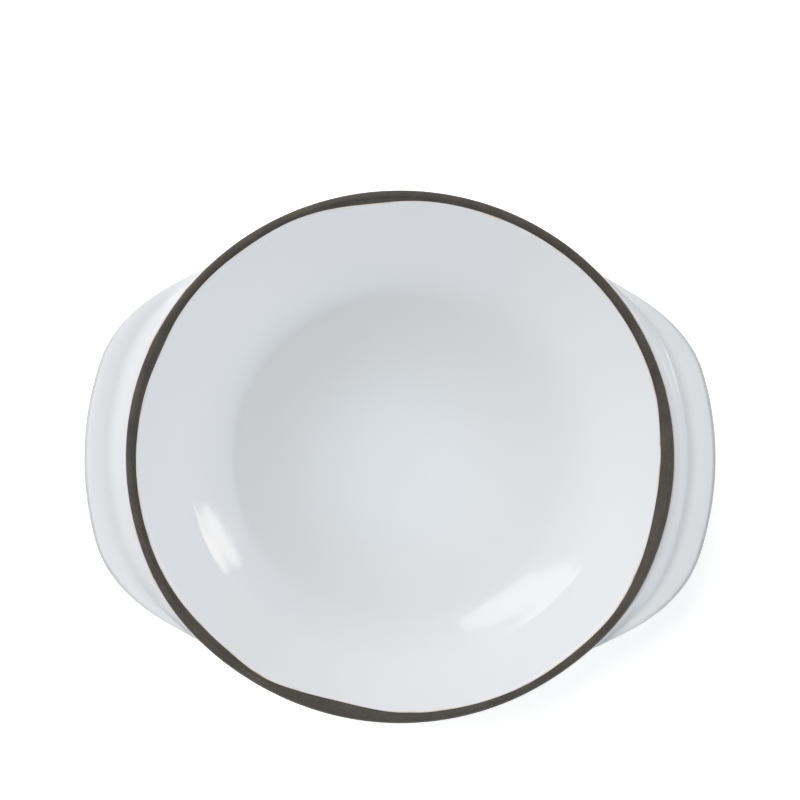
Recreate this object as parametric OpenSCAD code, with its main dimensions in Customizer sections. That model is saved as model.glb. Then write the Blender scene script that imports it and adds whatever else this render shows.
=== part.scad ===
// Small round ceramic casserole dish with two side handles.
// White glaze inside and out, bare dark rim, turned foot ring.
// Origin: centre of the foot's standing face. +X through the handles, +Z up. Millimetres.

/* [Rim] */
// outside length of the rim, along the handles
rim_length = 130; // [110:1:160]
// outside width of the rim, across the handles
rim_width = 126.6; // [106:0.2:160]
// thickness of the rounded lip, seen from above
lip_t = 1.8; // [1.4:0.1:2.6]
// height of the bare lip on the outside
lip_h = 1.6; // [1:0.1:3]
// mean width by which the bare band runs down inside the lip
band_in = 0.7; // [0.5:0.05:1.2]
// swell of the wiped band edge round the rim
band_wave = 0.4; // [0:0.05:0.45]
// angle of the widest place of the band
band_turn_angle = -8; // [-45:1:45]

/* [Bowl] */
// overall height
height = 38; // [30:1:60]
// thickness of the floor above the foot ring
floor_t = 4.5; // [3.5:0.25:8]
// thickness of the wall at the belly
wall_t = 4.4; // [3.2:0.1:6.5]
// share of the inside radius that the level floor pulls out to
floor_share = 0.36; // [0.26:0.01:0.46]
// share of the inside radius at the belly
belly_out_share = 0.58; // [0.52:0.01:0.66]
// share of the inside depth at the belly
belly_up_share = 0.25; // [0.18:0.01:0.32]

/* [Handles] */
// reach of each handle beyond the rim
handle_reach = 10; // [8:0.5:20]
// drop of the handle's top face below the rim
handle_drop = 3.6; // [3:0.1:9]
// thickness of the handle at its edge
handle_t = 5; // [3:0.25:8]
// distance of the thumb valley from the rim
handle_valley = 4.6; // [2.5:0.1:4.8]
// depth of the thumb valley
handle_dip = 0.5; // [0:0.1:1.4]
// depth of the rounding of the handle's edge
handle_edge = 1; // [0.8:0.1:2.4]
// half angle over which the handle keeps its full reach
handle_full_angle = 17; // [6:1:24]
// half angle at which the handle has run out into the wall
handle_end_angle = 55; // [46:1:70]
// share of the wall's height at which the handle's underside starts
handle_root_share = 0.6; // [0.4:0.02:0.7]
// thickness of the slip smoothed over the handle's joint
slip_t = 0.2; // [0.15:0.05:0.4]

/* [Foot] */
// outside diameter of the foot ring
foot_d = 50; // [40:1:64]
// width of the foot ring
foot_w = 4; // [2.5:0.25:8]
// height of the foot ring
foot_h = 3; // [2:0.25:6]
// rounding of the foot's standing edges
foot_round = 0.8; // [0.2:0.1:1]

/* [Glaze] */
// thickness of the fired glaze
glaze_t = 0.5; // [0.3:0.05:0.8]

/* [Hidden] */
clay_colour = [0.34, 0.31, 0.28];
glaze_colour = [0.88, 0.90, 0.92];

// swells of the wiped band edge in one turn
band_waves = 4;
// divisions round the dish
round_n = 60;
round_step = 360 / round_n;
// rings of the inside from the floor to the band
inside_n = 10;
// rings of the plain outside below the handles
low_n = 5;
// steps of the handle's underside, of its rounded edge and of the slope up to the rim
under_n = 4;
edge_n = 4;
slope_n = 4;
// points over the lip
lip_n = 6;
handle_n = under_n + edge_n + 2 + slope_n;
wall_n = low_n + handle_n;
half_k = low_n + handle_n / 2;

rim_r = rim_length / 2;
squeeze = rim_width / rim_length;
foot_r = foot_d / 2;
floor_z = foot_h + floor_t;
lip_in_r = rim_r - lip_t;
lip_in_z = height - lip_h / 2;
depth = lip_in_z - floor_z;
// run of the glaze edge on the flat underside beside the foot
glaze_run = 2 * glaze_t;
// spare of a cutting shape past the face it cuts
overhang = 0.01;
// how fast the wall leaves the foot and how late it turns to the lip
foot_fade_power = 3;
lip_fade_power = 6;
// share of the wall above the handle's root that its underside grows out of
under_wall_share = 0.8;
// pulls of the curve under the handle: along the wall, out to the edge and up to it
under_start_share = 0.15;
under_out_share = 0.45;
under_up_share = 0.95;
// pulls of the curve from the thumb valley up to the lip
slope_in_share = 0.3;
slope_out_share = 0.58;
slope_up_share = 0.82;

// Curves
function mix(a, b, t) = a + (b - a) * t;
function smooth(t) = (1 - cos(180 * max(0, min(1, t)))) / 2;
function curve(a, b, c, d, t) =
    a * pow(1 - t, 3) + 3 * b * pow(1 - t, 2) * t + 3 * c * (1 - t) * t * t + d * pow(t, 3);
function run(a, b, c, d, t) =
    3 * (b - a) * pow(1 - t, 2) + 6 * (c - b) * (1 - t) * t + 3 * (d - c) * t * t;
function unit(v) = v / norm(v);
// normal on the right of a line that runs outward and up
function right(v) = unit([v[1], -v[0]]);

// Inside of the bowl, glaze face, from the centre of the floor to the lip
in_a = [0, floor_z];
in_b = [floor_share * lip_in_r, floor_z];
in_c = [belly_out_share * lip_in_r, floor_z + belly_up_share * depth];
in_d = [lip_in_r, lip_in_z];
function inside(t) = curve(in_a, in_b, in_c, in_d, t);
function into_clay(t) = right(run(in_a, in_b, in_c, in_d, t));
function inside_clay(t) = inside(t) + glaze_t * into_clay(t);
// place on the inside curve over a radius, by halving
function inside_at(r, lo = 0, hi = 1, n = 24) =
    n == 0 ? (lo + hi) / 2
    : inside((lo + hi) / 2)[0] < r ? inside_at(r, (lo + hi) / 2, hi, n - 1)
    : inside_at(r, lo, (lo + hi) / 2, n - 1);

// Outside of the bowl: inside curve plus the wall, thickened to the foot and rounded to the lip
start_t = inside_at(foot_r);
foot_edge = [foot_r + glaze_run, foot_h];
lip_out = [rim_r, height - lip_h];
function outside(u) =
    let (t = mix(start_t, 1, u), low = pow(1 - u, foot_fade_power), high = pow(u, lip_fade_power))
    inside(t) + low * (foot_edge - inside(start_t)) + high * (lip_out - inside(1))
    + (1 - low - high) * wall_t * into_clay(t);

// Section of the handle at its full reach, from the wall below to the lip
tip_r = rim_r + handle_reach;
top_z = height - handle_drop;
edge_r = handle_t / 2;
edge_in = tip_r - handle_edge;
root = outside(handle_root_share);
under_end = [edge_in, top_z - handle_t];
valley = [rim_r + handle_valley, top_z - handle_dip];
function under(t) =
    curve(root, mix(root, outside(handle_root_share + under_start_share), 1 / 2),
          [mix(root[0], tip_r, under_out_share), mix(root[1], under_end[1], under_up_share)], under_end, t);
function edge(t) =
    [edge_in + handle_edge * cos(mix(-90, 90, t)), top_z - edge_r + edge_r * sin(mix(-90, 90, t))];
function slope(t) =
    curve(valley, [mix(valley[0], rim_r, slope_in_share), valley[1]],
          [mix(valley[0], rim_r, slope_out_share), mix(valley[1], lip_out[1], slope_up_share)], lip_out, t);
handle_line = concat(
    [for (j = [1:under_n]) under(j / under_n)],
    [for (j = [1:edge_n]) edge(j / edge_n)],
    [[(edge_in + valley[0]) / 2, top_z - handle_dip / 2]],
    [valley],
    [for (j = [1:slope_n]) slope(j / slope_n)]);

// Rings of the plain wall and of the wall with a handle at full reach, glaze face
// share of the way up the wall above the handle's root at which a ring lies
function up_wall(j) =
    j <= under_n ? under_wall_share * j / under_n
    : mix(under_wall_share, 1, (j - under_n) / (handle_n - under_n));
wall_line = concat(
    [for (j = [0:low_n]) outside(handle_root_share * j / low_n)],
    [for (j = [1:handle_n]) outside(mix(handle_root_share, 1, up_wall(j)))]);
full_line = concat([for (j = [0:low_n]) wall_line[j]], handle_line);
// the same rings one glaze thickness deeper, on the clay
function sunk(line) =
    [for (k = [0:wall_n])
        k == 0 ? [foot_r, foot_h]
        : line[k] - glaze_t * right(line[min(k + 1, wall_n)] - line[k - 1])];
wall_clay = sunk(wall_line);
full_sunk = sunk(full_line);
full_clay = [for (k = [0:wall_n]) k <= low_n || k == wall_n ? wall_clay[k] : full_sunk[k]];

// Round the dish
function angle(i) = i * round_step;
// angle away from the nearer handle's middle
function off_handle(a) = abs((a + 90) % 180 - 90);
function rise(i) =
    let (a = off_handle((angle(i) + 360) % 360))
    smooth((handle_end_angle - a) / (handle_end_angle - handle_full_angle));
function place(p, i) =
    let (s = mix(1, squeeze, smooth((p[0] - foot_r) / (rim_r - foot_r))))
    [p[0] * cos(angle(i)), p[0] * sin(angle(i)) * s, p[1]];
// end of the inside glaze at the wiped edge of the band
function band_t(i) =
    1 - (band_in + band_wave * cos(band_waves * (angle(i) - band_turn_angle))) / (3 * (in_d[0] - in_c[0]));
function glaze_in(k, i) = inside(band_t(i) * k / inside_n);
function clay_in(k, i) = inside_clay(band_t(i) * k / inside_n);
// slip over the joint, inside the handle's edges
function slip(k, i) =
    k > low_n && k < wall_n && rise(i) > 0 ? slip_t * right(wall_line[k + 1] - wall_line[k - 1]) : [0, 0];
function glaze_out(k, i) = mix(wall_line[k], full_line[k], rise(i)) + slip(k, i);
function clay_out(k, i) = mix(wall_clay[k], full_clay[k], rise(i)) + slip(k, i);
// lip from the outside edge of the band over the top to the inside curve
lip_pull = (8 * height - lip_out[1] - in_d[1]) / 6;
function lip(t) =
    curve(lip_out, [rim_r, lip_pull], [lip_in_r, lip_pull], in_d, t);

// Skins of triangles
// which diagonal splits a cell, so that faces that touch are split alike
function slant(i, k) = (sin(2 * (i + 0.5) * round_step) < 0) == (k < half_k);
function cell(p, q, r, s, main) = main ? [[p, r, q], [p, s, r]] : [[p, s, q], [q, s, r]];

// ring with a closed section of m points at each angle
module ring_solid(sections, main) {
    m = len(sections[0]);
    n = len(sections);
    pts = [for (i = [0:n - 1], j = [0:m - 1]) sections[i][j]];
    faces = [for (i = [0:n - 1], j = [0:m - 1])
        let (i2 = (i + 1) % n, j2 = (j + 1) % m)
        each cell(i * m + j, i2 * m + j, i2 * m + j2, i * m + j2, main[i][j])];
    polyhedron(points = pts, faces = faces, convexity = 10);
}

// round solid closed on the axis below and above
module round_solid(low, sections, high, main) {
    m = len(sections[0]);
    n = len(sections);
    pts = concat([for (i = [0:n - 1], j = [0:m - 1]) sections[i][j]], [[0, 0, low], [0, 0, high]]);
    side = [for (i = [0:n - 1], j = [0:m - 2])
        let (i2 = (i + 1) % n)
        each cell(i * m + j, i2 * m + j, i2 * m + j + 1, i * m + j + 1, main[i][j])];
    bottom = [for (i = [0:n - 1]) [n * m, i * m, ((i + 1) % n) * m]];
    top = [for (i = [0:n - 1]) [n * m + 1, ((i + 1) % n) * m + m - 1, i * m + m - 1]];
    polyhedron(points = pts, faces = concat(side, bottom, top), convexity = 10);
}

// lug between the plain wall and the raised skin, round the angle "middle"
module lug(middle) {
    reach = ceil(handle_end_angle / round_step);
    n = 2 * reach;
    m = handle_n;
    first = middle / round_step - reach;
    base = [for (i = [0:n], k = [0:m]) place(wall_clay[low_n + k], first + i)];
    skin = [for (i = [1:n - 1], k = [1:m - 1]) place(clay_out(low_n + k, first + i), first + i)];
    function under_id(i, k) = i * (m + 1) + k;
    function over_id(i, k) =
        i == 0 || i == n || k == 0 || k == m ? under_id(i, k)
        : (n + 1) * (m + 1) + (i - 1) * (m - 1) + k - 1;
    over = [for (i = [0:n - 1], k = [0:m - 1])
        each cell(over_id(i, k), over_id(i + 1, k), over_id(i + 1, k + 1), over_id(i, k + 1),
                  slant(first + i, low_n + k))];
    below = [for (i = [0:n - 1], k = [0:m - 1])
        each [for (f = cell(under_id(i, k), under_id(i + 1, k), under_id(i + 1, k + 1),
                            under_id(i, k + 1), slant(first + i, low_n + k)))
            [f[0], f[2], f[1]]]];
    polyhedron(points = concat(base, skin), faces = concat(over, below), convexity = 6);
}

// Pieces
module bowl_body()
    color(clay_colour)
        round_solid(
            foot_h,
            [for (i = [0:round_n - 1]) concat(
                [for (k = [0:wall_n]) place(wall_clay[k], i)],
                [for (k = [inside_n:-1:1]) place(clay_in(k, i), i)])],
            inside_clay(0)[1],
            [for (i = [0:round_n - 1]) concat(
                [for (k = [0:wall_n - 1]) slant(i, k)], [true],
                [for (k = [1:inside_n]) false])]);

module left_handle()
    color(clay_colour)
        lug(180);

module right_handle()
    color(clay_colour)
        lug(0);

module foot_ring()
    color(clay_colour)
        rotate_extrude($fn = round_n)
            difference() {
                translate([foot_r - foot_w, 0])
                    square([foot_w, foot_h]);
                for (side = [0, 1])
                    translate([foot_r - side * foot_w, 0])
                        mirror([1 - side, 0])
                            difference() {
                                translate([-overhang, -overhang])
                                    square(foot_round + overhang);
                                translate([foot_round, foot_round])
                                    circle(foot_round, $fn = round_n);
                            }
            }

module rim_band()
    color(clay_colour)
        ring_solid(
            [for (i = [0:round_n - 1]) concat(
                [place(clay_in(inside_n, i), i), place(wall_clay[wall_n], i)],
                [for (j = [0:lip_n]) place(lip(j / lip_n), i)],
                [place(glaze_in(inside_n, i), i)])],
            [for (i = [0:round_n - 1]) [for (j = [0:lip_n + 3]) false]]);

module inner_glaze()
    color(glaze_colour)
        round_solid(
            inside_clay(0)[1],
            [for (i = [0:round_n - 1]) concat(
                [for (k = [1:inside_n]) place(clay_in(k, i), i)],
                [for (k = [inside_n:-1:1]) place(glaze_in(k, i), i)])],
            floor_z,
            [for (i = [0:round_n - 1]) [for (j = [0:2 * inside_n - 1]) true]]);

module outer_glaze()
    color(glaze_colour)
        ring_solid(
            [for (i = [0:round_n - 1]) concat(
                [for (k = [0:wall_n]) place(glaze_out(k, i), i)],
                [for (k = [wall_n:-1:0]) place(clay_out(k, i), i)])],
            [for (i = [0:round_n - 1]) concat(
                [for (k = [0:wall_n - 1]) slant(i, k)], [true],
                [for (k = [wall_n - 1:-1:0]) !slant(i, k)], [true])]);

module base_glaze()
    color(glaze_colour)
        translate([0, 0, foot_h - glaze_t])
            cylinder(r = foot_r - foot_w, h = glaze_t, $fn = round_n);

bowl_body();
left_handle();
right_handle();
foot_ring();
rim_band();
inner_glaze();
outer_glaze();
base_glaze();
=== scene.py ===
import bpy
import math
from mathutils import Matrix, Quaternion, Vector


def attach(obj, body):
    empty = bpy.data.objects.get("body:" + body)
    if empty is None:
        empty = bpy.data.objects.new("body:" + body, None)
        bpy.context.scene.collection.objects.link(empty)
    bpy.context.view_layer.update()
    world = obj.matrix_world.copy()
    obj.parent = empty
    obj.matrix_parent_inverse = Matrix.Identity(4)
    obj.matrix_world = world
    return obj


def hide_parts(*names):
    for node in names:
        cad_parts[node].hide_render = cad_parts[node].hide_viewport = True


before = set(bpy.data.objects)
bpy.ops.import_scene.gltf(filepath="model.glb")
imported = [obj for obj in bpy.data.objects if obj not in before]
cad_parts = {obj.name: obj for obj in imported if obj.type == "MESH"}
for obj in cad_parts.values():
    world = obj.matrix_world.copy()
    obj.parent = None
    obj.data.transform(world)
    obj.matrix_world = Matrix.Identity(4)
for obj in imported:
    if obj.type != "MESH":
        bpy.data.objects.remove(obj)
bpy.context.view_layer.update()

# Clay of the bowl and of both handles: a dark, fine-grained stoneware.
# The bowl is pressed in a mould and the handles are luted to its wall with slip.
# Glaze covers all of it, so these solids keep their shape and only get their clay.
clay_shade = (0.060, 0.050, 0.041)
clay_light = (0.125, 0.105, 0.085)
pit_depth = 0.00012


def fired_clay(name, shade, light, grain_mm, rough, pits):
    """Bare fired clay: grains of two tones, a slow drift of tone and fine pits in the face."""
    clay = bpy.data.materials.new(name)
    clay.use_nodes = True
    nodes, links = clay.node_tree.nodes, clay.node_tree.links
    shader = nodes["Principled BSDF"]
    place = nodes.new("ShaderNodeTexCoord")
    grain = nodes.new("ShaderNodeTexNoise")
    grain.inputs["Scale"].default_value = 1000 / grain_mm
    grain.inputs["Detail"].default_value = 6
    grain.inputs["Roughness"].default_value = 0.65
    drift = nodes.new("ShaderNodeTexNoise")
    drift.inputs["Scale"].default_value = 110
    drift.inputs["Detail"].default_value = 3
    blend = nodes.new("ShaderNodeMix")
    blend.data_type = "FLOAT"
    blend.inputs["Factor"].default_value = 0.45
    tone = nodes.new("ShaderNodeValToRGB")
    tone.color_ramp.elements[0].position = 0.34
    tone.color_ramp.elements[0].color = (*shade, 1)
    tone.color_ramp.elements[1].position = 0.68
    tone.color_ramp.elements[1].color = (*light, 1)
    dull = nodes.new("ShaderNodeMapRange")
    dull.inputs["To Min"].default_value = rough - 0.08
    dull.inputs["To Max"].default_value = rough + 0.12
    bump = nodes.new("ShaderNodeBump")
    bump.inputs["Strength"].default_value = pits
    bump.inputs["Distance"].default_value = pit_depth
    for texture in (grain, drift):
        links.new(place.outputs["Object"], texture.inputs["Vector"])
    links.new(grain.outputs["Fac"], blend.inputs["A"])
    links.new(drift.outputs["Fac"], blend.inputs["B"])
    links.new(blend.outputs["Result"], tone.inputs["Fac"])
    links.new(tone.outputs["Color"], shader.inputs["Base Color"])
    links.new(grain.outputs["Fac"], dull.inputs["Value"])
    links.new(dull.outputs["Result"], shader.inputs["Roughness"])
    links.new(grain.outputs["Fac"], bump.inputs["Height"])
    links.new(bump.outputs["Normal"], shader.inputs["Normal"])
    shader.inputs["IOR"].default_value = 1.5
    shader.inputs["Specular IOR Level"].default_value = 0.3
    return clay


body_clay = fired_clay("body_clay", clay_shade, clay_light, grain_mm=0.6, rough=0.7, pits=0.4)
for clay_name in ("bowl_body", "left_handle", "right_handle"):
    clay_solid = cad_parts[clay_name]
    clay_solid.data.materials.clear()
    clay_solid.data.materials.append(body_clay)

# Foot ring: the turned ring of bare clay under the floor, which the dish stands on.
# It is left free of glaze so that it doesn't stick in the kiln,
# its edges are sponged round and its standing face is rubbed flat.
mm = 0.001
around = 240
foot_r = 25 * mm
foot_w = 4 * mm
foot_h = 3 * mm
foot_round = 0.8 * mm
round_steps = 6
merge_gap = 0.002 * mm
rubbed_shade = (0.085, 0.071, 0.057)
rubbed_light = (0.165, 0.140, 0.114)


def plain(radius):
    """A true circle: no squeeze at any radius."""
    return 1.0


def turn(name, line, squeeze=plain, middle="NOTHING"):
    """Turns a line of (radius, level) points: a first ring, then each ring drawn out of the last."""
    bpy.ops.object.select_all(action="DESELECT")
    radius, level = line[0]
    bpy.ops.mesh.primitive_circle_add(
        vertices=around, radius=radius, fill_type=middle, location=(0, 0, level))
    piece = bpy.context.object
    piece.name = name
    piece.data.name = name
    bpy.ops.object.transform_apply(location=True, rotation=True, scale=True)
    bpy.ops.object.mode_set(mode="EDIT")
    bpy.ops.mesh.select_mode(type="EDGE")
    bpy.ops.mesh.select_all(action="SELECT")
    bpy.ops.transform.resize(value=(1, squeeze(radius), 1))
    if middle != "NOTHING":
        bpy.ops.mesh.region_to_loop()
    for next_radius, next_level in line[1:]:
        out = next_radius / radius
        across = out * squeeze(next_radius) / squeeze(radius)
        bpy.ops.mesh.extrude_edges_move(
            TRANSFORM_OT_translate={"value": (0, 0, next_level - level)})
        bpy.ops.transform.resize(value=(out, across, 1))
        radius, level = next_radius, next_level
    bpy.ops.object.mode_set(mode="OBJECT")
    return piece


def merge_and_face_out(piece):
    """Merges the points that meet and turns every face outwards."""
    bpy.ops.object.select_all(action="DESELECT")
    piece.select_set(True)
    bpy.context.view_layer.objects.active = piece
    bpy.ops.object.mode_set(mode="EDIT")
    bpy.ops.mesh.select_all(action="SELECT")
    bpy.ops.mesh.remove_doubles(threshold=merge_gap)
    bpy.ops.mesh.normals_make_consistent(inside=False)
    bpy.ops.object.mode_set(mode="OBJECT")


def close_and_smooth(piece, angle=40):
    """Closes a turned piece and shades it smooth, but for edges sharper than an angle."""
    merge_and_face_out(piece)
    bpy.ops.object.shade_smooth_by_angle(angle=math.radians(angle))


def finish_piece(piece, material, slot, *nodes):
    """Gives a piece its finish and its body, and hides the solids it stands for."""
    piece.data.materials.clear()
    piece.data.materials.append(material)
    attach(piece, "root")
    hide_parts(*nodes)


def corner(centre_r, centre_z, start, end):
    """Points round a small rounded edge, from one angle to another."""
    steps = [start + (end - start) * k / round_steps for k in range(round_steps + 1)]
    return [(centre_r + foot_round * math.cos(math.radians(a)),
             centre_z + foot_round * math.sin(math.radians(a))) for a in steps]


foot_in = foot_r - foot_w
foot_line = [(foot_r, foot_h)]
foot_line += corner(foot_r - foot_round, foot_round, 0, -90)
foot_line += corner(foot_in + foot_round, foot_round, -90, -180)
foot_line += [(foot_in, foot_h), (foot_r, foot_h)]
foot = turn("foot_ring_turned", foot_line)
close_and_smooth(foot)
foot_clay = fired_clay("foot_clay", rubbed_shade, rubbed_light, grain_mm=0.5, rough=0.75, pits=0.6)
finish_piece(foot, foot_clay, "bare_foot", "foot_ring")

# Glaze under the floor: the round patch of glaze inside the foot ring.
# It is poured in and out of the foot, so it lies thin over the clay
# and runs a little way along the ring where it meets it.
glaze_t = 0.5 * mm
ripple_depth = 0.4 * mm
cool_white = (0.704, 0.750, 0.768)
soft_white = (0.750, 0.762, 0.780)
# the next colour is painted shade: a greyer glaze that stands in for shade on the bowl's lower wall,
# in the thumb valleys and on the right handle
shade_grey_white = (0.672, 0.698, 0.710)
# the next colour is painted shade: the grey of the line round each handle's outer edge, where the
# turning edge is shaded
edge_shade_grey = (0.36, 0.37, 0.38)
thin_cream = (0.70, 0.56, 0.42)
thin_brown = (0.30, 0.21, 0.14)


def white_glaze(name):
    """Glossy white glaze: bluish where it lies low, greyer where shade is painted on the lower wall
    and the handles, a painted grey line of shade round a handle's outer edge, and cream to brown where
    it breaks at its own edge."""
    glaze = bpy.data.materials.new(name)
    glaze.use_nodes = True
    nodes, links = glaze.node_tree.nodes, glaze.node_tree.links
    shader = nodes["Principled BSDF"]
    place = nodes.new("ShaderNodeTexCoord")
    cloud = nodes.new("ShaderNodeTexNoise")
    cloud.inputs["Scale"].default_value = 22
    cloud.inputs["Detail"].default_value = 3
    drift = nodes.new("ShaderNodeMapRange")
    drift.inputs["From Min"].default_value = 0.3
    drift.inputs["From Max"].default_value = 0.7
    drift.inputs["To Min"].default_value = -0.2
    drift.inputs["To Max"].default_value = 0.2
    low = nodes.new("ShaderNodeAttribute")
    low.attribute_name = "low"
    tint = nodes.new("ShaderNodeMath")
    tint.operation = "ADD"
    white = nodes.new("ShaderNodeMix")
    white.data_type = "RGBA"
    white.inputs["A"].default_value = (*soft_white, 1)
    white.inputs["B"].default_value = (*cool_white, 1)
    # painted shade: this mark greys the glaze where shade falls, on the lower wall and on the handles
    painted_shade = nodes.new("ShaderNodeAttribute")
    painted_shade.attribute_name = "painted_shade"
    grey = nodes.new("ShaderNodeMix")
    grey.data_type = "RGBA"
    grey.inputs["B"].default_value = (*shade_grey_white, 1)
    # painted shade: this mark greys the coat round a handle's outer edge, in place of the edge's
    # shading
    edge_shade = nodes.new("ShaderNodeAttribute")
    edge_shade.attribute_name = "edge_shade"
    edge_shade_mix = nodes.new("ShaderNodeMix")
    edge_shade_mix.data_type = "RGBA"
    edge_shade_mix.inputs["B"].default_value = (*edge_shade_grey, 1)
    edge = nodes.new("ShaderNodeAttribute")
    edge.attribute_name = "thin"
    flow = nodes.new("ShaderNodeTexNoise")
    flow.inputs["Scale"].default_value = 160
    flow.inputs["Detail"].default_value = 2
    uneven = nodes.new("ShaderNodeMath")
    uneven.operation = "MULTIPLY"
    spread = nodes.new("ShaderNodeMapRange")
    spread.inputs["From Min"].default_value = 0.3
    spread.inputs["From Max"].default_value = 0.7
    spread.inputs["To Min"].default_value = 0.55
    spread.inputs["To Max"].default_value = 1.0
    breaking = nodes.new("ShaderNodeValToRGB")
    breaking.color_ramp.elements[0].position = 0.45
    breaking.color_ramp.elements[0].color = (*thin_cream, 0)
    breaking.color_ramp.elements[1].position = 0.97
    breaking.color_ramp.elements[1].color = (*thin_brown, 0.85)
    middle = breaking.color_ramp.elements.new(0.78)
    middle.color = (*thin_cream, 0.35)
    colour = nodes.new("ShaderNodeMix")
    colour.data_type = "RGBA"
    gloss = nodes.new("ShaderNodeMapRange")
    gloss.inputs["To Min"].default_value = 0.04
    gloss.inputs["To Max"].default_value = 0.11
    ripple = nodes.new("ShaderNodeTexNoise")
    ripple.inputs["Scale"].default_value = 75
    ripple.inputs["Detail"].default_value = 2
    bump = nodes.new("ShaderNodeBump")
    bump.inputs["Strength"].default_value = 0.12
    bump.inputs["Distance"].default_value = ripple_depth
    for texture in (cloud, flow, ripple):
        links.new(place.outputs["Object"], texture.inputs["Vector"])
    links.new(cloud.outputs["Fac"], drift.inputs["Value"])
    links.new(drift.outputs["Result"], tint.inputs[0])
    links.new(low.outputs["Fac"], tint.inputs[1])
    links.new(tint.outputs["Value"], white.inputs["Factor"])
    links.new(white.outputs["Result"], grey.inputs["A"])
    links.new(painted_shade.outputs["Fac"], grey.inputs["Factor"])
    links.new(flow.outputs["Fac"], spread.inputs["Value"])
    links.new(edge.outputs["Fac"], uneven.inputs[0])
    links.new(spread.outputs["Result"], uneven.inputs[1])
    links.new(uneven.outputs["Value"], breaking.inputs["Fac"])
    links.new(grey.outputs["Result"], edge_shade_mix.inputs["A"])
    links.new(edge_shade.outputs["Fac"], edge_shade_mix.inputs["Factor"])
    links.new(edge_shade_mix.outputs["Result"], colour.inputs["A"])
    links.new(breaking.outputs["Color"], colour.inputs["B"])
    links.new(breaking.outputs["Alpha"], colour.inputs["Factor"])
    links.new(colour.outputs["Result"], shader.inputs["Base Color"])
    links.new(flow.outputs["Fac"], gloss.inputs["Value"])
    links.new(gloss.outputs["Result"], shader.inputs["Roughness"])
    links.new(ripple.outputs["Fac"], bump.inputs["Height"])
    links.new(bump.outputs["Normal"], shader.inputs["Normal"])
    shader.inputs["IOR"].default_value = 1.5
    return glaze


def mark(piece, name, share):
    """Writes a value from 0 to 1 at every point of a piece, for its glaze to read."""
    values = piece.data.attributes.new(name, "FLOAT", "POINT")
    for point, value in zip(piece.data.vertices, values.data):
        value.value = max(0.0, min(1.0, share(point.co)))


glaze = white_glaze("white_glaze")
ring_gap = 0.02 * mm
patch_r = foot_in - ring_gap
patch_low = foot_h - glaze_t
patch_middle = 2 * mm
patch_rings = 8
patch_tint = 0.3
# how the glaze runs along the ring: millimetres from the ring, and below the patch
run_along = ((1.2, 0.1), (0.6, 0.3), (0.2, 0.6), (0, 0.9))
thin_from, thin_over = 0.1 * mm, 0.8 * mm
patch_line = [(patch_middle, patch_low)]
patch_line += [(patch_middle + (patch_r - 2 * patch_middle) * k / patch_rings, patch_low)
               for k in range(1, patch_rings + 1)]
patch_line += [(patch_r - gap * mm, patch_low - drop * mm) for gap, drop in run_along]
patch_line += [(patch_r, foot_h), (patch_middle, foot_h)]
patch = turn("base_glaze_patch", patch_line, middle="TRIFAN")
bpy.ops.object.mode_set(mode="EDIT")
bpy.ops.mesh.edge_face_add()
bpy.ops.object.mode_set(mode="OBJECT")
close_and_smooth(patch)
mark(patch, "low", lambda at: patch_tint)
mark(patch, "thin", lambda at: (patch_low - at.z - thin_from) / thin_over)
finish_piece(patch, glaze, "white_glaze", "base_glaze")

# Inside glaze: the white coat from the middle of the floor up to the lip.
# The bowl is filled with glaze and poured out, which leaves soft rings in it,
# and the lip is then wiped bare with a sponge, so the coat ends in a wavy edge.
rim_r = 65 * mm
rim_across = 63.3 * mm
height = 38 * mm
lip_t = 1.8 * mm
lip_h = 1.6 * mm
floor_z = 7.5 * mm
lip_in = (rim_r - lip_t, height - lip_h / 2)
depth = lip_in[1] - floor_z
flat_share, bend_share, bend_rise = 0.36, 0.58, 0.25
bowl_points = ((0, floor_z), (flat_share * lip_in[0], floor_z),
               (bend_share * lip_in[0], floor_z + bend_rise * depth), lip_in)
# soft rings in the wall: radius, height and half width
throwing_rings = ((39.0 * mm, -0.10 * mm, 3.0 * mm), (50.7 * mm, -0.06 * mm, 1.3 * mm))
# hand marks round the rim, in degrees from the right handle, millimetres and degrees of spread:
# where the sponge wiped the lip wider or narrower, and where a finger pushed the soft rim
wiped_width = 2.45 * mm
sponge_marks = ((352, 0.95, 14), (7, 0.36, 6), (98, 0.62, 9), (125, -0.40, 18), (127, 0.42, 9),
                (158, 0.45, 7), (172, 0.20, 10), (225, 0.60, 12), (240, -0.40, 6), (256, 1.05, 11),
                (262, 0.30, 9), (300, -0.45, 14), (323, -0.32, 8))
rim_pushes = ((215, 0.60, 17), (327, 0.45, 13), (45, 0.18, 25))
# the wiped edge draws in the coat past this share of the inside line
edge_zone = 0.8
still_r = 0.5 * rim_r
inside_rings = 84
halvings = 30
nudge = 0.001
clay_gap = 0.05 * mm
edge_roll = 0.12 * mm
break_width = 1.4 * mm
# radii of the bluish floor and of the greyer ring of painted shade on the lower wall, and how far each
# fades
blue_to, blue_fade = 26 * mm, 24 * mm
shade_ring_from, shade_ring_rise = 6 * mm, 26 * mm
shade_ring_to, shade_ring_fade = 33 * mm, 22 * mm


def ease(share):
    """A soft start and stop between 0 and 1."""
    return (1 - math.cos(math.pi * max(0.0, min(1.0, share)))) / 2


def squeezed(radius):
    """How much narrower the bowl is across than along, at a radius: a round foot, an oval rim."""
    return 1 + (rim_across / rim_r - 1) * ease((radius - foot_r) / (rim_r - foot_r))


def bow(points, share):
    """A point on the smooth line that four points pull."""
    a, b, c, d = points
    rest = 1 - share
    return tuple(a[k] * rest ** 3 + 3 * b[k] * rest ** 2 * share
                 + 3 * c[k] * rest * share ** 2 + d[k] * share ** 3 for k in (0, 1))


def bow_side(points, share):
    """The direction into the clay, square to the smooth line."""
    near, far = bow(points, share - nudge), bow(points, share + nudge)
    out, up = far[0] - near[0], far[1] - near[1]
    size = math.hypot(out, up)
    return up / size, -out / size


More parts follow.
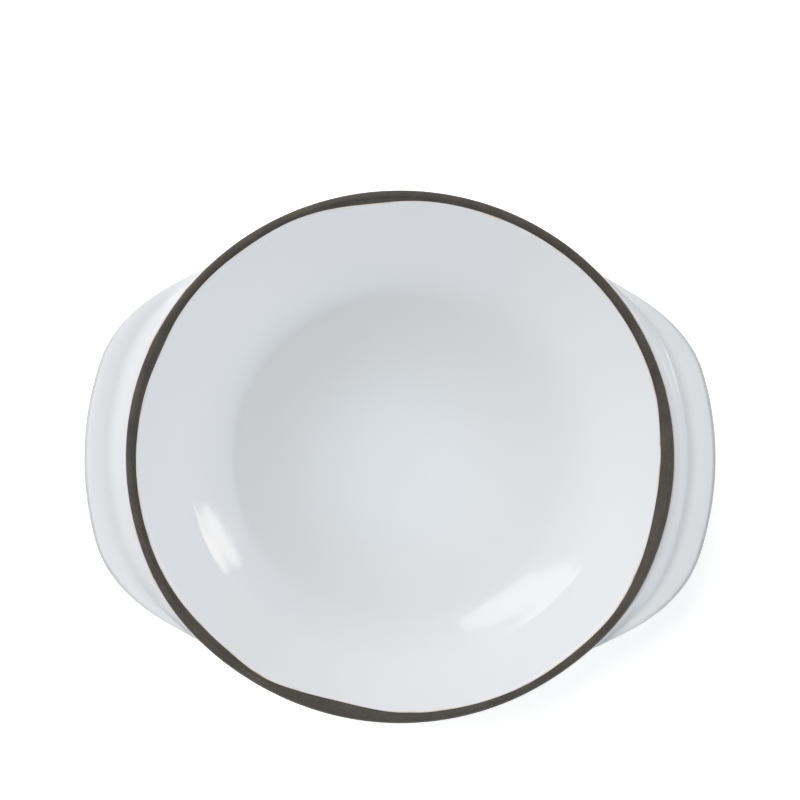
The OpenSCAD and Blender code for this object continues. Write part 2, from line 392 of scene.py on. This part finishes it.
def inside_share(radius):
    """Where along the inside line a radius lies."""
    low, high = 0.0, 1.0
    for _ in range(halvings):
        half = (low + high) / 2
        if bow(bowl_points, half)[0] < radius:
            low = half
        else:
            high = half
    return (low + high) / 2


def inside_point(share):
    """A point of the glaze face on the inside, with its soft rings."""
    radius, level = bow(bowl_points, share)
    for ring_r, ring_h, ring_w in throwing_rings:
        level += ring_h * math.exp(-((radius - ring_r) / ring_w) ** 2)
    return radius, level


def hand_marks(angle, marks):
    """The sum of the soft marks that reach an angle."""
    total = 0
    for middle, size, spread in marks:
        off = (math.degrees(angle) - middle + 180) % 360 - 180
        total += size * mm * math.exp(-(off / spread) ** 2)
    return total


def angle_of(at):
    """The angle of a point round the dish, with the squeeze undone."""
    radius = math.hypot(at.x, at.y)
    return math.atan2(at.y / squeezed(radius), at.x)


def wiped_share(angle):
    """Where along the inside line the coat ends at an angle."""
    return min(1.0, inside_share(rim_r - wiped_width - hand_marks(angle, sponge_marks)))


def push_rim(piece):
    """Moves the points of a piece as the rim was pushed, less and less towards the foot."""
    for point in piece.data.vertices:
        radius = point.co.xy.length
        push = hand_marks(math.atan2(point.co.y, point.co.x), rim_pushes)
        out = 1 + push * ease((radius - foot_r) / (rim_r - foot_r)) / max(radius, foot_r)
        point.co = (point.co.x * out, point.co.y * out, point.co.z)


def put(point, angle, radius, level):
    """Moves a point to a radius and level at its angle, on the oval."""
    point.co = (radius * math.cos(angle), radius * math.sin(angle) * squeezed(radius), level)


def add_coat(piece, right_side_out):
    """Gives a glaze face its thickness, down into the clay, and rolls its open edges."""
    merge_and_face_out(piece)
    if not right_side_out(piece.data.polygons):
        bpy.ops.object.mode_set(mode="EDIT")
        bpy.ops.mesh.select_all(action="SELECT")
        bpy.ops.mesh.flip_normals()
        bpy.ops.object.mode_set(mode="OBJECT")
    coat = piece.modifiers.new("coat", "SOLIDIFY")
    coat.thickness = glaze_t - clay_gap
    coat.offset = -1
    roll = piece.modifiers.new("roll", "BEVEL")
    roll.width = edge_roll
    roll.segments = 3
    roll.limit_method = "ANGLE"
    roll.angle_limit = math.radians(50)
    for modifier in ("coat", "roll"):
        bpy.ops.object.modifier_apply(modifier=modifier)
    bpy.ops.object.shade_smooth_by_angle(angle=math.radians(60))


ring_shares = [k / inside_rings for k in range(2, inside_rings + 1)]
inside = turn("inside_glaze", [inside_point(s) for s in ring_shares], squeezed, "TRIFAN")
for point in inside.data.vertices:
    radius_here = math.hypot(point.co.x, point.co.y)
    if radius_here < still_r:
        continue
    angle = angle_of(point.co)
    # the radius before the squeeze, from whichever of x and y is long enough to divide
    share = inside_share(point.co.x / math.cos(angle) if abs(math.cos(angle)) > 0.5
                         else point.co.y / math.sin(angle) / squeezed(radius_here))
    if share > edge_zone:
        share = edge_zone + (share - edge_zone) / (1 - edge_zone) * (wiped_share(angle) - edge_zone)
        put(point, angle, *inside_point(share))
add_coat(inside, lambda faces: min(faces, key=lambda face: face.center.xy.length).normal.z > 0)


def from_wiped_edge(at):
    """How near a point of the inside coat is to its wiped edge: 1 on it, 0 where the coat is whole."""
    angle = angle_of(at)
    radius, level = inside_point(wiped_share(angle))
    gap = math.hypot(math.hypot(at.x, at.y / squeezed(radius)) - radius, at.z - level)
    return 1 - gap / break_width


mark(inside, "thin", from_wiped_edge)
mark(inside, "low", lambda at: 1 - ease((at.xy.length - blue_to) / blue_fade))
# painted shade: a greyer ring of glaze on the lower wall of the bowl, in place of its shade
mark(inside, "painted_shade", lambda at: ease((at.xy.length - shade_ring_from) / shade_ring_rise)
     * (1 - ease((at.xy.length - shade_ring_to) / shade_ring_fade)))
push_rim(inside)
finish_piece(inside, glaze, "white_glaze", "inner_glaze")

# Outside glaze: the white coat over the outer wall and both handles.
# The dish is dipped in one go, so the coat runs without a seam from the wall
# over each handle: down a short slope from the lip, along a thumb valley, over the round edge.
wall_t = 4.4 * mm
handle_reach = 10 * mm
handle_drop = 3.6 * mm
handle_t = 5 * mm
handle_valley = 4.6 * mm
handle_dip = 0.5 * mm
handle_edge = 1 * mm
handle_full = math.radians(17)
handle_end = math.radians(55)
handle_root = 0.6
slip_t = 0.2 * mm
foot_edge = (foot_r + 2 * glaze_t, foot_h)
lip_out = (rim_r, height - lip_h)
low_rings = 16
# steps of the handle's section: underside, round edge, thumb rest and slope up to the lip
under_end, edge_end, rest_end, slope_end = 4, 8, 10, 14
rings_per_step = 4
under_wall = 0.8
wall_start = inside_share(foot_r)
# glaze on the outside: where it breaks under the lip, its bluish foot, painted shade in the thumb
# valley, painted shade past it on the right handle, which faces away from the light, and painted shade
# round the outer edge of both handles
lip_break = 1.0 * mm
foot_tint, foot_tint_h = 0.5, 20 * mm
valley_shade_width = 1.4 * mm
right_handle_shade, right_handle_shade_fade = 0.8, 2 * mm
# width of the painted shade line round a handle's outer edge
edge_shade_width = 0.8 * mm


def between(a, b, share):
    """A point on the straight line between two points, or a number between two numbers."""
    if isinstance(a, tuple):
        return tuple(p + (q - p) * share for p, q in zip(a, b))
    return a + (b - a) * share


def wall_point(share):
    """A point of the plain outer wall, from the foot to the lip."""
    along = between(wall_start, 1, share)
    low, high = (1 - share) ** 3, share ** 6
    here, side = bow(bowl_points, along), bow_side(bowl_points, along)
    foot_from = bow(bowl_points, wall_start)
    return tuple(here[k] + low * (foot_edge[k] - foot_from[k]) + high * (lip_out[k] - lip_in[k])
                 + (1 - low - high) * wall_t * side[k] for k in (0, 1))


tip_r = rim_r + handle_reach
top_z = height - handle_drop
edge_in = tip_r - handle_edge
root = wall_point(handle_root)
edge_low = (edge_in, top_z - handle_t)
valley = (rim_r + handle_valley, top_z - handle_dip)
# where the lines of the underside and of the slope are pulled to, as shares of their way out and up
root_lead = 0.15
root_pull = between(root, wall_point(handle_root + root_lead), 0.5)
under_out, under_up = 0.45, 0.95
slope_start, slope_in, slope_up = 0.24, 0.65, 0.73
under_line = (root, root_pull,
              (between(root[0], tip_r, under_out), between(root[1], edge_low[1], under_up)), edge_low)
slope_line = (valley, (between(valley[0], rim_r, slope_start), valley[1]),
              (between(valley[0], rim_r, slope_in), between(valley[1], lip_out[1], slope_up)), lip_out)


def handle_point(step):
    """A point of the handle's section at full reach, from the wall below it up to the lip."""
    if step <= under_end:
        return bow(under_line, step / under_end)
    if step <= edge_end:
        turned = math.pi * ((step - under_end) / (edge_end - under_end) - 0.5)
        return (edge_in + handle_edge * math.cos(turned),
                top_z - handle_t / 2 + handle_t / 2 * math.sin(turned))
    if step <= rest_end:
        share = (step - edge_end) / (rest_end - edge_end)
        return between(edge_in, valley[0], share), top_z - handle_dip * ease(share)
    return bow(slope_line, (step - rest_end) / (slope_end - rest_end))


def wall_share(step):
    """Where a step of the handle starts from on the plain wall: mostly close under the lip."""
    up = under_wall * step / under_end
    if step > under_end:
        up = between(under_wall, 1, (step - under_end) / (slope_end - under_end))
    return between(handle_root, 1, up)


def pulled(angle):
    """How far the handle is drawn out at an angle: 1 in its middle, 0 where it has run out."""
    off = abs((angle + math.pi / 2) % math.pi - math.pi / 2)
    return ease((handle_end - off) / (handle_end - handle_full))


wall_rings = [(wall_point(handle_root * k / low_rings), None) for k in range(low_rings)]
for k in range(slope_end * rings_per_step + 1):
    step = k / rings_per_step
    wall_rings.append((wall_point(wall_share(step)), step))
outside = turn("outside_glaze", [ring[0] for ring in wall_rings], squeezed)
ring_levels = [ring[0][1] for ring in wall_rings]
for point in outside.data.vertices:
    ring = min(range(len(ring_levels)), key=lambda k: abs(ring_levels[k] - point.co.z))
    (radius, level), step = wall_rings[ring]
    angle = math.atan2(point.co.y / squeezed(radius), point.co.x)
    reach = pulled(angle)
    if step is None or reach == 0:
        continue
    radius, level = between((radius, level), handle_point(step), reach)
    slip = slip_t * ease(reach * 4) * ease(min(step, slope_end - step))
    put(point, angle, radius + slip, level)
add_coat(outside, lambda faces: max(faces, key=lambda face: face.center.x).normal.x > 0)


def rim_radius(at):
    """The radius of a point near the rim, with the squeeze undone."""
    return math.hypot(at.x, at.y / squeezed(rim_r))


def handle_painted_shade(at):
    """Painted shade on a handle: greyer glaze along the thumb valley, in place of the shade in that
    crease, and past it on the right one, which faces away from the light.
    """
    reach = pulled(angle_of(at))
    past_valley = rim_radius(at) - between(rim_r, valley[0], reach)
    valley_shade = math.exp(-(past_valley / valley_shade_width) ** 2)
    right_side_shade = right_handle_shade * ease(past_valley / right_handle_shade_fade) if at.x > 0 else 0
    return ease(2 * reach - 0.5) * max(valley_shade, right_side_shade)


def painted_edge_shade(at):
    """Painted shade round a handle's outer edge: a grey line in place of the darker shading where the
    edge turns away.
    """
    reach = pulled(angle_of(at))
    edge_from = wall_point(wall_share((under_end + edge_end) / 2))[0]
    gap = between(edge_from, tip_r, reach) - rim_radius(at)
    return reach ** 4 * (1 - gap / edge_shade_width)


mark(outside, "thin", lambda at: 1 - math.hypot(
    rim_radius(at) - lip_out[0], at.z - lip_out[1]) / lip_break)
mark(outside, "low", lambda at: foot_tint * (1 - ease(at.z / foot_tint_h)))
# painted shade: greyer glaze in the thumb valleys and on the right handle, in place of their shade
mark(outside, "painted_shade", handle_painted_shade)
mark(outside, "edge_shade", painted_edge_shade)
push_rim(outside)
finish_piece(outside, glaze, "white_glaze", "outer_glaze")

# Bare lip: the rim of the bowl, wiped clean of glaze before firing.
# The dark stoneware shows as a narrow matt band; it lies a hair below the glaze,
# which ends on both sides of it.
bare = 0.12 * mm
lip_steps = 14
lip_pull = (8 * height - lip_out[1] - lip_in[1]) / 6
lip_line = (lip_out, (rim_r, lip_pull), (lip_in[0], lip_pull), lip_in)
under_glaze = 0.9
under_steps = 8
# both ends of the lip lie hidden in the clay: millimetres in and down from its outer edge,
# and how far out and down the inner end goes on below the glaze
outer_ends = ((1.0, 0.9), (0.45, 0.35))
inner_end = (1.2 * mm, 0.6 * mm)
bare_shade = (0.046, 0.042, 0.036)
bare_light = (0.108, 0.097, 0.083)
lip_points = [(lip_out[0] - inset * mm, lip_out[1] - drop * mm) for inset, drop in outer_ends]
for k in range(lip_steps + 1):
    radius, level = bow(lip_line, k / lip_steps)
    inward = (rim_r + lip_in[0]) / 2 - radius
    lip_points.append((radius + bare * inward / lip_t, level - bare))
for k in range(1, under_steps + 1):
    share = between(1, under_glaze, k / under_steps)
    radius, level = inside_point(share)
    into = bow_side(bowl_points, share)
    lip_points.append((radius + bare * into[0], level + bare * into[1]))
radius, level = lip_points[-1]
lip_points.append((radius + inner_end[0], level - inner_end[1]))
lip_points.append(lip_points[0])
lip = turn("bare_lip", lip_points, squeezed)
close_and_smooth(lip, angle=60)
push_rim(lip)
lip_clay = fired_clay("bare_lip_clay", bare_shade, bare_light, grain_mm=0.45, rough=0.62, pits=0.5)
finish_piece(lip, lip_clay, "bare_rim", "rim_band")

# Stage: a white table top in a pale room, a broad soft light over it from the upper left,
# two low soft boxes that show as the bright patches in the bowl,
# and two low side lights for the handles, which show in no gloss.
table_white = (0.92, 0.90, 0.89)
table_glow = 0.64


def seen_rays(nodes, links):
    """Gives 1 for what the camera sees, straight or in a gloss, and 0 for what only lights."""
    ray = nodes.new("ShaderNodeLightPath")
    seen = nodes.new("ShaderNodeMath")
    seen.operation = "ADD"
    seen_too = nodes.new("ShaderNodeMath")
    seen_too.operation = "ADD"
    seen_too.use_clamp = True
    links.new(ray.outputs["Is Camera Ray"], seen.inputs[0])
    links.new(ray.outputs["Is Glossy Ray"], seen.inputs[1])
    links.new(seen.outputs["Value"], seen_too.inputs[0])
    links.new(ray.outputs["Is Transmission Ray"], seen_too.inputs[1])
    return seen_too.outputs["Value"]


bpy.ops.object.select_all(action="DESELECT")
bpy.ops.mesh.primitive_plane_add(size=8)
table = bpy.context.object
table.name = "table_top"
top = bpy.data.materials.new("table_white")
top.use_nodes = True
nodes, links = top.node_tree.nodes, top.node_tree.links
shader = nodes["Principled BSDF"]
shader.inputs["Base Color"].default_value = (*table_white, 1)
shader.inputs["Roughness"].default_value = 0.7
shader.inputs["Emission Color"].default_value = (1, 1, 1, 1)
lift = nodes.new("ShaderNodeMath")
lift.operation = "MULTIPLY"
lift.inputs[1].default_value = table_glow
links.new(seen_rays(nodes, links), lift.inputs[0])
links.new(lift.outputs["Value"], shader.inputs["Emission Strength"])
table.data.materials.append(top)

# the room gives a weak even light, and in the gloss it is a backdrop,
# bright near the table and brightest to the front right
room_light = 0.19
room_blue = (0.80, 0.93, 1.0)
bright_way = (0.848, -0.530, 0)
room = bpy.data.worlds.new("studio")
bpy.context.scene.world = room
room.use_nodes = True
nodes, links = room.node_tree.nodes, room.node_tree.links
sky = nodes["Background"]
sky.inputs["Color"].default_value = (*room_blue, 1)
way = nodes.new("ShaderNodeTexCoord")
parts = nodes.new("ShaderNodeSeparateXYZ")
fade = nodes.new("ShaderNodeMapRange")
fade.inputs["From Min"].default_value = 0.38
fade.inputs["From Max"].default_value = 0.44
fade.inputs["To Min"].default_value = 1.5
fade.inputs["To Max"].default_value = 0.15
side = nodes.new("ShaderNodeVectorMath")
side.operation = "DOT_PRODUCT"
side.inputs[1].default_value = bright_way
swing = nodes.new("ShaderNodeMapRange")
swing.inputs["To Min"].default_value = 0.3
swing.inputs["To Max"].default_value = 2.0
backdrop = nodes.new("ShaderNodeMath")
backdrop.operation = "MULTIPLY"
strength = nodes.new("ShaderNodeMix")
strength.data_type = "FLOAT"
strength.inputs["A"].default_value = room_light
links.new(way.outputs["Generated"], parts.inputs["Vector"])
links.new(way.outputs["Generated"], side.inputs[0])
links.new(parts.outputs["Z"], fade.inputs["Value"])
links.new(side.outputs["Value"], swing.inputs["Value"])
links.new(fade.outputs["Result"], backdrop.inputs[0])
links.new(swing.outputs["Result"], backdrop.inputs[1])
links.new(seen_rays(nodes, links), strength.inputs["Factor"])
links.new(backdrop.outputs["Value"], strength.inputs["B"])
links.new(strength.outputs["Result"], sky.inputs["Strength"])


def soft_box(name, off_axis, turned, wide, tall, power, distance=1.0, tilt=0):
    """A soft light that faces the dish, placed by its angle off the upright and its direction."""
    lamp = bpy.data.lights.new(name, "AREA")
    lamp.shape = "RECTANGLE"
    lamp.size = wide
    lamp.size_y = tall
    lamp.energy = power
    holder = bpy.data.objects.new(name, lamp)
    bpy.context.scene.collection.objects.link(holder)
    off, way = math.radians(off_axis), math.radians(turned)
    stand = Vector((math.sin(off) * math.cos(way), math.sin(off) * math.sin(way), math.cos(off)))
    holder.location = stand * distance
    facing = (-stand).to_track_quat("-Z", "Y") @ Quaternion((0, 0, 1), math.radians(tilt))
    holder.rotation_euler = facing.to_euler()
    return holder


key = soft_box("broad_light", off_axis=23, turned=134, wide=0.8, tall=0.8, power=13.6, distance=1.2)
key.data.color = (1.0, 0.970, 0.978)
key.visible_glossy = False
left_box = soft_box("left_box", off_axis=69.8, turned=129, wide=0.66, tall=0.080, power=0.32, tilt=1.5)
right_box = soft_box("right_box", off_axis=68.6, turned=28.5, wide=0.36, tall=0.042, power=0.21)
for box in (left_box, right_box):
    box.data.shape = "ELLIPSE"
    box.data.color = (1.0, 0.89, 0.77)
warm_side = soft_box("warm_side", off_axis=62, turned=178, wide=0.6, tall=0.4, power=1.0)
warm_side.data.color = (1.0, 0.93, 0.85)
front_side = soft_box("front_side", off_axis=72, turned=-40, wide=0.6, tall=0.4, power=1.6)
front_side.data.color = (1.0, 0.97, 0.94)
for side_light in (warm_side, front_side):
    side_light.visible_glossy = False

# Camera: looks almost straight down into the dish through a long lens,
# turned a little, with the dish below the middle of the picture.
lens = 200
view_width = 189.4 * mm
view_elevation = math.radians(86)
view_roll = math.radians(1.4)
dish_below_middle = 55.3 / 800
camera_data = bpy.data.cameras.new("camera")
camera = bpy.data.objects.new("camera", camera_data)
bpy.context.scene.collection.objects.link(camera)
camera_data.lens = lens
back = Vector((0, -math.cos(view_elevation), math.sin(view_elevation)))
facing = (-back).to_track_quat("-Z", "Y") @ Quaternion((0, 0, 1), view_roll)
aim = Vector((0, 0, height)) + (facing @ Vector((0, 1, 0))) * dish_below_middle * view_width
camera.location = aim + back * (lens * view_width / camera_data.sensor_width)
camera.rotation_mode = "QUATERNION"
camera.rotation_quaternion = facing
bpy.context.scene.camera = camera
bpy.context.scene.view_settings.view_transform = "Standard"
